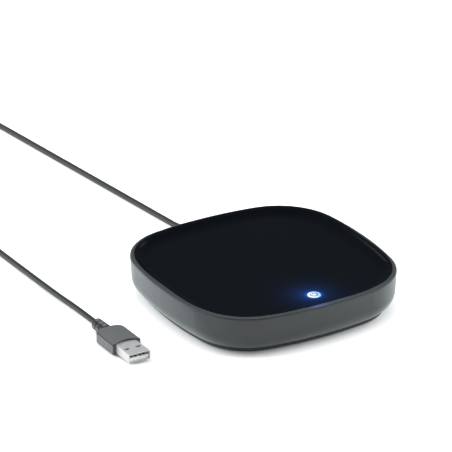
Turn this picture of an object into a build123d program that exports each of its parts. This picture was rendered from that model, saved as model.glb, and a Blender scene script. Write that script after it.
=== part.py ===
from build123d import *
import os
from math import asin, atan2, cos, degrees, pi, radians, sin, sqrt, tan

# Electric mug warmer: a glossy dish in a matt housing, heated from underneath, with a lit
# push button in the dish and a USB lead.  Millimetres, +Z up, the table at Z = 0.  The origin
# is under the middle of the tray; the button is towards -Y and the lead leaves at +Y.

# ---- Tray, seen from above: four crowned sides joined by round corners ----
side_half = 60.0              # origin to the middle of a side
side_crown_radius = 186.0
corner_radius = 34.0

# ---- Tray, seen from the side ----
foot_proud = 0.5              # the feet stand below the base cover by this much
body_height = 20.4            # underside of the base cover to the rim
base_thickness = 2.2
lip_height = 1.2              # edge of the dish that shows above the housing
wall_draft = 3.5              # degrees
wall_bend_height = 9.9        # where the wall starts to turn under, above the table
lower_edge_radius = 8.5
wall = 2.0
lip_overhang = 0.08
base_setback = 0.3            # base cover behind the housing's lower edge
base_edge_round = 0.8
fit_gap = 0.2                 # between mouldings that slide together
touch_gap = 0.05              # between a screw or cord and the hole that holds it

# ---- Dish ----
rim_width = 3.1
rim_outer_round = 0.6
rim_inner_round = 1.0
dish_depth = 3.0
dish_slope = 50.0             # degrees, where the dish leaves the rim
dish_thickness = 1.8
skirt_depth = 4.2             # locating skirt inside the housing
skirt_thickness = 1.3
tongue_height = 1.4           # locating tongue of the base cover
tongue_thickness = 1.2

# ---- Feet and base screws, in the four corners ----
foot_diameter = 10.0
foot_recess = 1.0
foot_edge_distance = 9.0      # foot centre to the base cover's corner, along the diagonal
base_post_diameter = 8.0
base_post_height = 2.3
base_boss_diameter = 7.0
base_screw_diameter = 2.5
base_screw_head_diameter = 4.4
base_screw_head_height = 1.4
base_screw_length = 7.0
screw_seat = 0.8              # above the ceiling of the foot's recess, plus the head

# ---- Heater, under the middle of the dish ----
heater_y = 7.0
spreader_diameter = 70.0
spreader_thickness = 1.5
film_thickness = 0.3
film_margin = 3.0             # film heater inside the spreader's edge
pad_thickness = 2.0
clamp_thickness = 1.5
clamp_rib = 1.2
rib_thickness = 1.2
heater_boss_diameter = 5.5
heater_screw_diameter = 2.0
heater_screw_head_diameter = 3.8
heater_screw_head_height = 1.2
heater_screw_length = 4.0
film_tab_width = 9.0
film_tab_length = 5.0
clamp_rib_setback = 9.6       # inside the clamp's edge, on the diameter
lead_spread = 10.5            # the heater's wires land this far either side on the board

# ---- Temperature sensor and thermal cutout, in windows of the pad ----
sensor_across = 3.0
sensor_along = 5.0
cutout_across = 11.0
cutout_along = 5.0
cutout_thickness = 3.0
sensor_offset = 12.0          # sideways from the heater's middle
sensor_setting = 17.0         # forward of the heater's middle
window_margin = 1.0

# ---- Button, switch and circuit board ----
axis_x = 4.9                  # line of the button and the lead
button_setback = 19.0         # button's centre inside the middle of the front side
button_diameter = 6.6
button_proud = 0.2
button_travel = 0.4
button_gap = 0.2              # running gap round the button
button_flange_width = 1.0
button_flange_thickness = 0.8
button_stem_diameter = 3.0
button_stem_length = 1.2
guide_thickness = 1.0
guide_depth = 2.2
switch_size = 6.2
switch_height = 3.6
plunger_diameter = 3.4
plunger_proud = 0.9
plunger_depth = 1.0           # part of the plunger inside the switch
board_length = 44.0
board_depth = 16.0
board_thickness = 1.6
board_boss_diameter = 5.0
board_boss_margin = 3.5       # boss centre from the board's end
board_screw_diameter = 2.0
board_screw_head_diameter = 3.8
board_screw_head_height = 1.2
board_screw_length = 6.0
led_across = 1.6
led_along = 3.2
led_height = 1.1
led_gap = 0.6                 # between a light and the switch
board_corner_radius = 1.0

# ---- Small parts on the board ----
chip_length = 4.9
chip_width = 3.9
chip_height = 1.6
chip_standoff = 0.1
pin_pitch = 1.27
pin_width = 0.42
pin_reach = 1.1
pin_height = 0.5
pins_per_side = 4
transistor_width = 6.6
transistor_depth = 6.1
transistor_height = 2.3
transistor_tab_width = 5.2
transistor_tab_reach = 1.55
leg_spacing = 4.6
leg_width = 0.8
leg_reach = 2.45
can_base = 5.2
can_base_height = 0.6
can_diameter = 5.0
can_height = 4.6
resistor_width = 1.25
resistor_length = 2.0
resistor_height = 0.6
resistor_pitch = 3.0
resistor_count = 3
part_overlap = 0.2            # pins and tabs reach this far under their case

# ---- Cord entry ----
cord_diameter = 3.0
cord_height = 7.4             # cord's axis where it leaves the tray
relief_length = 12.0          # outside the wall
relief_base_diameter = 5.0    # through the wall
relief_tip_diameter = 4.0
relief_collar_diameter = 6.4  # inside the wall
relief_collar_length = 1.8
relief_base_length = 1.5      # straight part of the relief outside the wall
relief_grooves = 4
relief_groove_pitch = 2.4
relief_groove_width = 0.9
relief_groove_depth = 0.4
saddle_setback = 13.5         # saddle's middle inside the middle of the back side
saddle_width = 18.0
saddle_depth = 5.0
saddle_bar_thickness = 2.2
saddle_screw_spacing = 12.0
saddle_screw_diameter = 2.0
saddle_screw_head_diameter = 3.8
saddle_screw_head_height = 1.0
saddle_screw_length = 6.0
saddle_corner_radius = 1.0
cord_past_saddle = 1.5        # jacket left on beyond the saddle
wire_straight = 4.0           # the cord's two wires, before they turn down
wire_descent = 5.0            # along the cord, on the way down
wire_diameter = 1.2
sensor_wire_diameter = 0.8
lead_drop = 2.0               # the wires' level below the board

# ---- USB plug, lying on the table and pointing to -Y ----
plug_x = -89.5
plug_front_y = -31.4
plug_height = 3.4             # plug's axis above the table
shell_width = 12.0
shell_height = 4.5
shell_sheet = 0.3
shell_corner_radius = 0.6
shell_length = 12.9
shell_buried = 6.0            # part of the shell inside the moulded body
latch_width = 2.4
latch_length = 1.4
latch_spacing = 6.5
latch_setback = 6.7
stamp_width = 3.0             # raised stamping on top of the shell, in front of the body
stamp_length = 1.2
stamp_height = 0.15
stamp_setback = 1.2
tongue_width = 11.1
tongue_height_usb = 1.9
tongue_setback = 0.6
contact_width = 1.1
contact_pitch = 2.3
contact_thickness = 0.15
plug_width = 15.7
plug_thickness = 6.8          # along the middle; the top and bottom are crowned
plug_crown = 0.7
plug_length = 19.0
plug_rear_bow = 0.6
plug_rear_corner_radius = 3.2
plug_edge_round = 0.6
plug_bevel_radius = 12.6
plug_bevel_depth = 1.8
boot_length = 10.6
boot_diameter = 6.6
boot_tip_diameter = 6.2
boot_grooves = 3
boot_groove_width = 0.8
boot_groove_depth = 0.8

# ---- Route of the lead along the table, axis of the cord ----
cord_rest = cord_diameter / 2
coil_x = -70.7
coil_y = 216.0
coil_radius = 16.5            # middle of the bundle of turns
coil_bottom_turns = 4
coil_layer_rise = 2.6

# ---- Heights that follow ----
base_bottom = foot_proud
seam = base_bottom + base_thickness
rim_top = base_bottom + body_height
lip_bottom = rim_top - lip_height
floor_top = rim_top - dish_depth
floor_bottom = floor_top - dish_thickness
spreader_bottom = floor_bottom - spreader_thickness
film_bottom = spreader_bottom - film_thickness
pad_bottom = film_bottom - pad_thickness
clamp_bottom = pad_bottom - clamp_thickness
flange_top = floor_bottom - button_gap
stem_bottom = flange_top - button_flange_thickness - button_stem_length
switch_top = stem_bottom - plunger_proud
board_top = switch_top - switch_height
board_bottom = board_top - board_thickness
screw_head_seat = base_bottom + foot_recess + screw_seat + base_screw_head_height
post_top = seam + base_post_height

# ---- Places along the tray that follow ----
button_y = button_setback - side_half
saddle_y = side_half - saddle_setback
jacket_end = saddle_y - saddle_depth / 2 - cord_past_saddle
saddle_top = cord_height - touch_gap
saddle_bar_bottom = cord_height + touch_gap
saddle_bar_top = saddle_bar_bottom + saddle_bar_thickness
relief_start = side_half - lip_overhang
relief_end = relief_start + relief_length

# ---- Plan of the tray that follows ----
crown_centre = side_half - side_crown_radius
radius_step = side_crown_radius - corner_radius
corner_centre = (crown_centre + sqrt(2 * radius_step**2 - crown_centre**2)) / 2
crown_angle = degrees(atan2(corner_centre, corner_centre - crown_centre))

# ---- Housing wall that follows ----
draft = radians(wall_draft)
bend_inset = lip_overhang + (lip_bottom - wall_bend_height) * tan(draft)
bend_centre_inset = bend_inset + lower_edge_radius * cos(draft)
bend_centre_height = wall_bend_height + lower_edge_radius * sin(draft)
seam_angle = asin((bend_centre_height - seam) / lower_edge_radius)
seam_inset = bend_centre_inset - lower_edge_radius * cos(seam_angle)
base_inset = seam_inset + base_setback
tongue_inset = bend_centre_inset + fit_gap
wall_across = wall / cos(draft)
bend_inner_radius = lower_edge_radius - wall
collar_bottom = cord_height - relief_collar_diameter / 2 - fit_gap
collar_drop = min(1.0, max(0.0, (bend_centre_height - collar_bottom) / bend_inner_radius))
collar_inset = bend_centre_inset - bend_inner_radius * cos(asin(collar_drop))
collar_end = side_half - collar_inset - fit_gap
collar_start = collar_end - relief_collar_length

# ---- Dish that follows ----
dish_radius = dish_depth / (1 - cos(radians(dish_slope)))
dish_foot_inset = rim_width + dish_radius * sin(radians(dish_slope))
skirt_inset = lip_overhang + wall_across + fit_gap


def at(inset, height):
    """Point of a wall section, by its distance inside the widest outline and its height."""
    return Vector(side_half - inset, 0, height)


def outline(inset, height=0.0):
    """Plan of the tray, drawn in by inset, as a face at a height."""
    edges = []
    for turn in (0, 90, 180, 270):
        crown = CenterArc((crown_centre, 0), side_crown_radius - inset, -crown_angle, 2 * crown_angle)
        corner = CenterArc((corner_centre, corner_centre), corner_radius - inset,
                           crown_angle, 90 - 2 * crown_angle)
        edges += [Rot(0, 0, turn) * crown, Rot(0, 0, turn) * corner]
    return Pos(0, 0, height) * Face(Wire(edges))


def slab(inset, bottom, top):
    """Plate with the tray's plan."""
    return extrude(outline(inset, bottom), top - bottom, dir=(0, 0, 1))


def swept_round(section):
    """Carry a wall section once round the tray, a quarter at a time."""
    quarter = Wire([
        CenterArc((crown_centre, 0), side_crown_radius, 0, crown_angle),
        CenterArc((corner_centre, corner_centre), corner_radius, crown_angle, 90 - 2 * crown_angle),
        Rot(0, 0, 90) * CenterArc((crown_centre, 0), side_crown_radius, -crown_angle, crown_angle),
    ])
    piece = sweep(section, path=quarter)
    return piece + [Rot(0, 0, turn) * piece for turn in (90, 180, 270)]


def arc_point(centre_inset, centre_height, radius, angle):
    """Point of an arc in a wall section; the angle runs down from straight outwards."""
    return at(centre_inset - radius * cos(angle), centre_height - radius * sin(angle))


def upright(x, y, bottom, top, diameter):
    """Upright cylinder between two heights."""
    return Pos(x, y, (bottom + top) / 2) * Cylinder(diameter / 2, top - bottom)


def block(x, y, bottom, top, across, along):
    """Upright block between two heights, across X and along Y."""
    return Pos(x, y, (bottom + top) / 2) * Box(across, along, top - bottom)


def base_places():
    """Centres of the feet and base screws, on the diagonals."""
    reach = corner_centre * sqrt(2) + corner_radius - base_inset - foot_edge_distance
    step = reach / sqrt(2)
    return [(sx * step, sy * step) for sx in (-1, 1) for sy in (-1, 1)]


def heater_places():
    """Centres of the heater's screws, outside the spreader's edge."""
    reach = spreader_diameter / 2 + fit_gap + rib_thickness + heater_boss_diameter / 2
    step = reach / sqrt(2)
    return [(sx * step, heater_y + sy * step) for sx in (-1, 1) for sy in (-1, 1)]


def board_places():
    """Centres of the board's screws, at its two ends."""
    step = board_length / 2 - board_boss_margin
    return [(axis_x - step, button_y), (axis_x + step, button_y)]


def saddle_places():
    """Centres of the cord clamp's screws."""
    return [(axis_x + side * saddle_screw_spacing / 2, saddle_y) for side in (-1, 1)]


def pan_screws(places, seat, head_diameter, head_height, diameter, length, upwards):
    """Pan-head screws on one seat height, driven upwards from below or downwards from above."""
    screws = []
    for x, y in places:
        profile = Polyline((0, -length), (diameter / 2, -length), (diameter / 2, 0),
                           (head_diameter / 2, 0), (head_diameter / 2, head_height * 0.5),
                           (head_diameter * 0.3, head_height), (0, head_height), close=True)
        screw = revolve(Plane.XZ * make_face(profile), Axis.Z)
        slot = Pos(0, 0, head_height) * Box(head_diameter * 0.6, 0.5, head_height * 0.8)
        screw = screw - slot - Rot(0, 0, 90) * slot
        turned = Rot(180, 0, 0) * screw if upwards else screw
        screws.append(Pos(x, y, seat) * turned)
    return Compound(screws)


def outer_shell():
    """Housing wall: drafted, then turned under to a flat edge that sits on the base cover."""
    inner_radius = lower_edge_radius - wall
    middle = (draft + seam_angle) / 2
    inner_middle = (draft + pi / 2) / 2
    outer_top = at(lip_overhang, lip_bottom)
    outer_bend = at(bend_inset, wall_bend_height)
    outer_end = at(seam_inset, seam)
    flange_end = at(bend_centre_inset, seam)
    inner_end = at(bend_centre_inset, bend_centre_height - inner_radius)
    inner_bend = arc_point(bend_centre_inset, bend_centre_height, inner_radius, draft)
    inner_top = at(lip_overhang + wall_across, lip_bottom)
    section = Face(Wire([
        Line(outer_top, outer_bend),
        ThreePointArc(outer_bend,
                      arc_point(bend_centre_inset, bend_centre_height, lower_edge_radius, middle),
                      outer_end),
        Line(outer_end, flange_end),
        Line(flange_end, inner_end),
        ThreePointArc(inner_end,
                      arc_point(bend_centre_inset, bend_centre_height, inner_radius, inner_middle),
                      inner_bend),
        Line(inner_bend, inner_top),
        Line(inner_top, outer_top),
    ]))
    shell = swept_round(section)
    hole = Pos(axis_x, side_half, cord_height) * Rot(90, 0, 0) * Cylinder(
        relief_base_diameter / 2 + touch_gap, 4 * wall + 2 * lower_edge_radius)
    return shell - hole


def top_tray():
    """Glossy dish: rim, concave wall, floor, locating skirt, and the bosses under the floor."""
    half_slope = radians(dish_slope) / 2
    dish_middle = at(dish_foot_inset - dish_radius * sin(half_slope),
                     floor_top + dish_radius * (1 - cos(half_slope)))
    skirt_bottom = lip_bottom - skirt_depth
    lean = skirt_depth * tan(draft)
    corners = [
        at(dish_foot_inset, floor_top), at(dish_foot_inset, floor_bottom),
        at(skirt_inset + skirt_thickness + lean, lip_bottom - dish_thickness),
        at(skirt_inset + skirt_thickness + lean, skirt_bottom),
        at(skirt_inset + lean, skirt_bottom), at(skirt_inset, lip_bottom),
        at(0, lip_bottom), at(0, rim_top), at(rim_width, rim_top),
    ]
    edges = [Line(a, b) for a, b in zip(corners, corners[1:])]
    edges.append(ThreePointArc(corners[-1], dish_middle, corners[0]))
    section = Face(Wire(edges))
    rim_corners = section.vertices().sort_by(Axis.Z)[-2:].sort_by(Axis.X)
    section = section.fillet_2d(rim_inner_round, [rim_corners[0]])
    outer_corner = section.vertices().sort_by(lambda v: v.X + v.Z)[-1]
    section = section.fillet_2d(rim_outer_round, [outer_corner])
    tray = swept_round(section) + slab(dish_foot_inset, floor_bottom, floor_top)

    locating = spreader_diameter / 2 + fit_gap
    ring = Cylinder(locating + rib_thickness, spreader_thickness) - Cylinder(locating, spreader_thickness)
    tray += Pos(0, heater_y, floor_bottom - spreader_thickness / 2) * ring
    for x, y in base_places():
        tray += upright(x, y, post_top, floor_bottom, base_boss_diameter)
    for x, y in heater_places():
        tray += upright(x, y, pad_bottom, floor_bottom, heater_boss_diameter)
    for x, y in board_places():
        tray += upright(x, y, board_top, floor_bottom, board_boss_diameter)
    guide_inner = button_diameter + 2 * (button_flange_width + button_gap)
    tray += upright(axis_x, button_y, floor_bottom - guide_depth, floor_bottom,
                    guide_inner + 2 * guide_thickness)

    tray -= upright(axis_x, button_y, floor_bottom - guide_depth, floor_bottom, guide_inner)
    tray -= upright(axis_x, button_y, floor_bottom, floor_top, button_diameter + 2 * button_gap)
    for x, y in base_places():
        reach = screw_head_seat + base_screw_length + wall / 2
        tray -= upright(x, y, post_top, reach, base_screw_diameter + 2 * touch_gap)
    for x, y in heater_places():
        tray -= upright(x, y, pad_bottom, clamp_bottom + heater_screw_length + wall / 4,
                        heater_screw_diameter + 2 * touch_gap)
    for x, y in board_places():
        tray -= upright(x, y, board_top, board_bottom + board_screw_length + wall / 4,
                        board_screw_diameter + 2 * touch_gap)
    return tray


def base_cover():
    """Bottom plate with its locating tongue, screw posts, foot recesses and cord saddle."""
    plate = slab(base_inset, base_bottom, seam)
    lower_edges = plate.faces().sort_by(Axis.Z)[0].edges()
    plate = fillet(lower_edges, min(base_edge_round, 0.45 * base_thickness))
    tongue = slab(tongue_inset, seam, seam + tongue_height)
    cover = plate + (tongue - slab(tongue_inset + tongue_thickness, seam, seam + tongue_height))
    for x, y in base_places():
        cover += upright(x, y, seam, post_top, base_post_diameter)
        cover -= upright(x, y, base_bottom, base_bottom + foot_recess, foot_diameter + 2 * touch_gap)
        cover -= upright(x, y, base_bottom, screw_head_seat, base_screw_head_diameter + 2 * fit_gap)
        cover -= upright(x, y, base_bottom, post_top, base_screw_diameter + 2 * fit_gap)
    cover += block(axis_x, saddle_y, seam, saddle_top, saddle_width, saddle_depth)
    cover -= lying(cord_height, saddle_y, saddle_depth, cord_diameter + 2 * touch_gap)
    for x, y in saddle_places():
        cover -= upright(x, y, saddle_bar_top - saddle_screw_length - touch_gap, saddle_top,
                         saddle_screw_diameter + 2 * touch_gap)
    return cover


def lying(height, middle_y, length, diameter):
    """Cylinder along Y on the line of the button and the lead."""
    return Pos(axis_x, middle_y, height) * Rot(90, 0, 0) * Cylinder(diameter / 2, length)


def rubber_feet():
    """Four feet glued into the recesses, over the base screws."""
    height = foot_recess + foot_proud
    feet = []
    for x, y in base_places():
        foot = upright(x, y, 0, height, foot_diameter)
        feet.append(fillet(foot.edges().group_by(Axis.Z)[0], min(0.4, 0.4 * foot_proud)))
    return Compound(feet)


def heat_spreader():
    """Aluminium disc against the underside of the dish."""
    return upright(0, heater_y, spreader_bottom, floor_bottom, spreader_diameter)


def film_heater():
    """Etched film heater on the spreader, with a tab for its leads."""
    disc = upright(0, heater_y, film_bottom, spreader_bottom, spreader_diameter - 2 * film_margin)
    tab_length = film_tab_length + 2 * film_margin
    tab_y = heater_y - spreader_diameter / 2 - film_tab_length + tab_length / 2
    return disc + block(0, tab_y, film_bottom, spreader_bottom, film_tab_width, tab_length)


def sensor_windows(bottom, top):
    """Openings over the temperature sensor and the thermal cutout."""
    y = heater_y - sensor_setting
    sensor = block(sensor_offset, y, bottom, top, sensor_across + 2 * window_margin,
                   sensor_along + 2 * window_margin)
    cutout = block(-sensor_offset, y, bottom, top, cutout_across + 2 * window_margin,
                   cutout_along + 2 * window_margin)
    return [sensor, cutout]


def insulation_pad():
    """Soft pad that keeps the heat in the spreader."""
    pad = upright(0, heater_y, pad_bottom, film_bottom, spreader_diameter)
    return pad - sensor_windows(pad_bottom, film_bottom)


def heater_clamp():
    """Moulded plate that presses the heater against the dish, with ears for its screws."""
    clamp = upright(0, heater_y, clamp_bottom, pad_bottom, spreader_diameter)
    rib = spreader_diameter - clamp_rib_setback
    clamp += upright(0, heater_y, clamp_bottom - clamp_rib, clamp_bottom, rib)
    clamp -= upright(0, heater_y, clamp_bottom - clamp_rib, clamp_bottom, rib - 2 * rib_thickness)
    for x, y in heater_places():
        ear = upright(x, y, clamp_bottom, pad_bottom, heater_boss_diameter)
        bridge = block(0, 0, clamp_bottom, pad_bottom, spreader_diameter / 2, heater_boss_diameter)
        bearing = degrees(atan2(y - heater_y, x))
        reach = sqrt(x**2 + (y - heater_y)**2) - spreader_diameter / 4
        clamp += ear + Pos(0, heater_y, 0) * Rot(0, 0, bearing) * Pos(reach, 0, 0) * bridge
    for x, y in heater_places():
        clamp -= upright(x, y, clamp_bottom, pad_bottom, heater_screw_diameter + 2 * touch_gap)
    return clamp - sensor_windows(clamp_bottom, pad_bottom)


def temperature_sensor():
    """Sensor bead on the film heater."""
    bead = block(sensor_offset, heater_y - sensor_setting, film_bottom - pad_thickness, film_bottom,
                 sensor_across, sensor_along)
    return fillet(bead.edges().filter_by(Axis.Z), sensor_across * 0.3)


def thermal_cutout():
    """Cutout in a flat case on the film heater."""
    case = block(-sensor_offset, heater_y - sensor_setting, film_bottom - cutout_thickness, film_bottom,
                 cutout_across, cutout_along)
    return fillet(case.edges().filter_by(Axis.Z), cutout_along * 0.3)


def wire(points, diameter, bend):
    """Insulated wire with equal bends."""
    path = FilletPolyline(*points, radius=bend)
    start = Plane(origin=points[0], z_dir=Vector(*points[1]) - Vector(*points[0]))
    return sweep(start * Circle(diameter / 2), path=path)


def heater_leads():
    """Two wires from the film's tab to the board."""
    tab_y = heater_y - spreader_diameter / 2 - film_tab_length / 2
    board_y = button_y + board_depth / 2 - wire_diameter
    level = (film_bottom + board_top) / 2
    leads = []
    for side in (-1, 1):
        x = side * film_tab_width / 4
        landing_x = side * lead_spread
        points = [(x, tab_y, film_bottom), (x, tab_y, level), (landing_x, board_y, level),
                  (landing_x, board_y, board_top)]
        leads.append(wire(points, wire_diameter, wire_diameter * 0.8))
    return Compound(leads)


def sensor_leads():
    """Wires from the sensor and the cutout, under the clamp and the board, to its underside."""
    board_y = button_y + board_depth / 2 - wire_diameter
    start_y = heater_y - sensor_setting
    level = board_bottom - lead_drop
    leads = []
    for middle, spread, top in ((sensor_offset, sensor_across / 4, pad_bottom),
                                (-sensor_offset, cutout_across / 4, film_bottom - cutout_thickness)):
        for side in (-1, 1):
            x = middle + side * spread
            points = [(x, start_y, top), (x, start_y, level), (x, board_y, level), (x, board_y, board_bottom)]
            leads.append(wire(points, sensor_wire_diameter, wire_diameter * 0.8))
    return Compound(leads)


def circuit_board():
    """Glass-fibre board that hangs from two bosses of the dish."""
    board = block(axis_x, button_y, board_bottom, board_top, board_length, board_depth)
    board = fillet(board.edges().filter_by(Axis.Z), board_corner_radius)
    for x, y in board_places():
        board -= upright(x, y, board_bottom, board_top, board_screw_diameter + 2 * touch_gap)
    return board


def edge_tab(x, y, side, case_depth, width, reach, height):
    """Pin, leg or tab on the board, from under the edge of a case outwards."""
    length = reach + part_overlap
    middle = y + side * (case_depth / 2 - part_overlap + length / 2)
    return block(x, middle, board_top, board_top + height, width, length)


def control_chip():
    """Control chip with a row of pins on each side."""
    x = axis_x - board_length / 4
    y = button_y + board_depth / 5
    chip = block(x, y, board_top + chip_standoff, board_top + chip_height, chip_length, chip_width)
    pins = []
    for step in range(pins_per_side):
        pin_x = x + (step - (pins_per_side - 1) / 2) * pin_pitch
        pins += [edge_tab(pin_x, y, side, chip_width, pin_width, pin_reach, pin_height) for side in (-1, 1)]
    return chip + pins


def power_transistor():
    """Switching transistor with its metal tab."""
    x = axis_x + board_length / 4
    y = button_y + board_depth / 8
    case = block(x, y, board_top + chip_standoff, board_top + transistor_height, transistor_width,
                 transistor_depth)
    tab = edge_tab(x, y, 1, transistor_depth, transistor_tab_width, transistor_tab_reach, pin_height)
    legs = [edge_tab(x + side * leg_spacing / 2, y, -1, transistor_depth, leg_width, leg_reach, pin_height)
            for side in (-1, 1)]
    return case + tab + legs


def smoothing_capacitor():
    """Upright can capacitor on its square base."""
    x = axis_x - board_length / 4
    y = button_y - board_depth / 4
    can_bottom = board_top + can_base_height
    foot = block(x, y, board_top, can_bottom, can_base, can_base)
    return foot + upright(x, y, can_bottom, can_bottom + can_height, can_diameter)


def chip_resistors():
    """Row of chip resistors beside the transistor's legs."""
    y = button_y - board_depth / 2 + resistor_length
    first = axis_x + switch_size
    return Compound([block(first + step * resistor_pitch, y, board_top, board_top + resistor_height,
                           resistor_width, resistor_length) for step in range(resistor_count)])


def indicator_leds():
    """Two lights beside the switch, under the button's flange."""
    step = switch_size / 2 + led_gap + led_across / 2
    return Compound([block(axis_x + side * step, button_y, board_top, board_top + led_height,
                           led_across, led_along) for side in (-1, 1)])


def switch_body():
    """Case of the key switch, with the well that its plunger moves in."""
    case = block(axis_x, button_y, board_top, switch_top, switch_size, switch_size)
    case = chamfer(case.faces().sort_by(Axis.Z)[-1].edges(), 0.3)
    well = plunger_depth + button_travel + button_gap
    return case - upright(axis_x, button_y, switch_top - well, switch_top, plunger_diameter + 2 * button_gap)


def switch_plunger():
    """Plunger of the key switch."""
    return upright(axis_x, button_y, switch_top - plunger_depth, stem_bottom, plunger_diameter)


def button_cap():
    """Clear button: a disc flush with the dish, a flange that keeps it in, and a stem."""
    disc = upright(axis_x, button_y, flange_top, floor_top + button_proud, button_diameter)
    disc = fillet(disc.edges().group_by(Axis.Z)[-1], button_proud * 0.9)
    flange = upright(axis_x, button_y, flange_top - button_flange_thickness, flange_top,
                     button_diameter + 2 * button_flange_width)
    return disc + flange + upright(axis_x, button_y, stem_bottom, flange_top, button_stem_diameter)


def strain_relief():
    """Rubber relief moulded on the cord: a collar inside the wall, and a grooved taper outside."""
    collar = relief_collar_diameter / 2
    base = relief_base_diameter / 2
    tip = relief_tip_diameter / 2
    taper_start = relief_start + relief_base_length
    points = [(0, collar_start), (collar, collar_start), (collar, collar_end), (base, collar_end)]
    for step in range(relief_grooves):
        near = taper_start + step * relief_groove_pitch
        radius = base + (tip - base) * step / relief_grooves
        bottom = radius - relief_groove_depth
        points += [(radius, near), (bottom, near), (bottom, near + relief_groove_width),
                   (radius, near + relief_groove_width)]
    points += [(tip, relief_end), (0, relief_end)]
    return Pos(axis_x, 0, cord_height) * revolve(Plane.XY * make_face(Polyline(*points, close=True)), Axis.Y)


def cord_end():
    """End of the cord inside the tray, from the relief through its clamp."""
    return lying(cord_height, (jacket_end + collar_start) / 2, collar_start - jacket_end, cord_diameter)


def cord_clamp():
    """Bar that presses the cord into the base cover's saddle."""
    bar = block(axis_x, saddle_y, saddle_bar_bottom, saddle_bar_top, saddle_width, saddle_depth)
    bar = fillet(bar.edges().filter_by(Axis.Z), saddle_corner_radius)
    bar -= lying(cord_height, saddle_y, saddle_depth, cord_diameter + 2 * touch_gap)
    for x, y in saddle_places():
        bar -= upright(x, y, saddle_bar_bottom, saddle_bar_top, saddle_screw_diameter + 2 * touch_gap)
    return bar


def power_leads():
    """Two wires from the cord's end, under the heater, up to the board."""
    level = board_bottom - lead_drop
    board_y = button_y + board_depth / 2 - 1.5 * wire_diameter
    turn_y = jacket_end - wire_straight
    leads = []
    for side in (-1, 1):
        x = axis_x + side * cord_diameter / 4
        points = [(x, jacket_end, cord_height), (x, turn_y, cord_height), (x, turn_y - wire_descent, level),
                  (x, board_y, level), (x, board_y, board_bottom)]
        leads.append(wire(points, wire_diameter, wire_diameter))
    return Compound(leads)


def plug_places():
    """Places along the plug: back of the shell's free part, of the body, and of the boot."""
    shell_back = plug_front_y + shell_length
    body_back = shell_back + plug_length
    return shell_back, body_back, body_back + boot_length


def plug_shell():
    """Folded steel shell with its latch windows."""
    length = shell_length + shell_buried
    middle = Pos(plug_x, plug_front_y + length / 2, plug_height)
    bore = RectangleRounded(shell_width - 2 * shell_sheet, shell_height - 2 * shell_sheet,
                            shell_corner_radius - shell_sheet)
    outer = extrude(RectangleRounded(shell_width, shell_height, shell_corner_radius), length / 2, both=True)
    shell = middle * Rot(90, 0, 0) * (outer - extrude(bore, length, both=True))
    for side in (-1, 1):
        shell -= Pos(plug_x + side * latch_spacing / 2, plug_front_y + latch_setback, plug_height) * Box(
            latch_width, latch_length, 2 * shell_height)
    top = plug_height + shell_height / 2
    stamp_y = plug_front_y + shell_length - stamp_setback
    return shell + block(plug_x, stamp_y, top - shell_sheet / 2, top + stamp_height,
                         stamp_width, stamp_length)


def plug_tongue():
    """Plastic tongue in the lower half of the shell, with a block behind it."""
    inner_height = shell_height - 2 * shell_sheet
    bottom = plug_height - inner_height / 2 + touch_gap
    start = plug_front_y + tongue_setback
    end = plug_front_y + shell_length + shell_buried
    tongue = block(plug_x, (start + end) / 2, bottom, bottom + tongue_height_usb, tongue_width, end - start)
    back = plug_front_y + shell_length
    return tongue + block(plug_x, (back + end) / 2, bottom, bottom + inner_height - 2 * touch_gap,
                          tongue_width, end - back)


def plug_contacts():
    """Four contacts on top of the tongue."""
    bottom = plug_height - shell_height / 2 + shell_sheet + touch_gap + tongue_height_usb
    start = plug_front_y + tongue_setback + 0.8
    end = plug_front_y + shell_length
    return Compound([block(plug_x + (step - 1.5) * contact_pitch, (start + end) / 2, bottom,
                           bottom + contact_thickness, contact_width, end - start) for step in range(4)])


def plug_body():
    """Moulded body: crowned above and below, rounded at the back, a hollow bevel over the shell."""
    front, back, _ = plug_places()
    half = plug_width / 2
    side_back = back - plug_rear_bow
    plan = Face(Wire([
        Line((plug_x - half, front), (plug_x + half, front)),
        Line((plug_x + half, front), (plug_x + half, side_back)),
        ThreePointArc((plug_x + half, side_back), (plug_x, back), (plug_x - half, side_back)),
        Line((plug_x - half, side_back), (plug_x - half, front)),
    ]))
    plan = plan.fillet_2d(plug_rear_corner_radius, plan.vertices().sort_by(Axis.Y)[-2:])
    middle = plug_thickness / 2
    crown_radius = (half**2 + plug_crown**2) / (2 * plug_crown)
    barrel = Rot(90, 0, 0) * Cylinder(crown_radius, 3 * plug_length)
    body = extrude(Pos(0, 0, plug_height - middle) * plan, plug_thickness, dir=(0, 0, 1))
    for side in (-1, 1):
        body = body & (Pos(plug_x, front, plug_height + side * (middle - crown_radius)) * barrel)
    level_edges = [edge for edge in body.edges()
                   if abs(edge.center().Z - plug_height) > middle - plug_crown - plug_edge_round / 2]
    body = fillet(level_edges, plug_edge_round)
    hollow = Cylinder(plug_bevel_radius, plug_thickness)
    body -= Pos(plug_x, front - plug_bevel_radius + plug_bevel_depth,
                plug_height + (plug_thickness + shell_height) / 2 + touch_gap) * hollow
    pocket = Pos(plug_x, front + shell_buried / 2, plug_height) * Box(
        shell_width + 2 * touch_gap, shell_buried + 2 * touch_gap, shell_height + 2 * touch_gap)
    return body - pocket


def plug_boot():
    """Grooved relief behind the plug."""
    _, start, end = plug_places()
    pitch = boot_length / boot_grooves
    points = [(0, start)]
    for step in range(boot_grooves):
        radius = (boot_diameter + (boot_tip_diameter - boot_diameter) * step / (boot_grooves - 1)) / 2
        near = start + step * pitch
        points += [(radius - boot_groove_depth, near), (radius - boot_groove_depth, near + boot_groove_width),
                   (radius, near + boot_groove_width), (radius, near + pitch)]
    points.append((0, end))
    boot = revolve(Plane.XY * make_face(Polyline(*points, close=True)), Axis.Y)
    return Pos(plug_x, 0, plug_height) * boot


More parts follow.
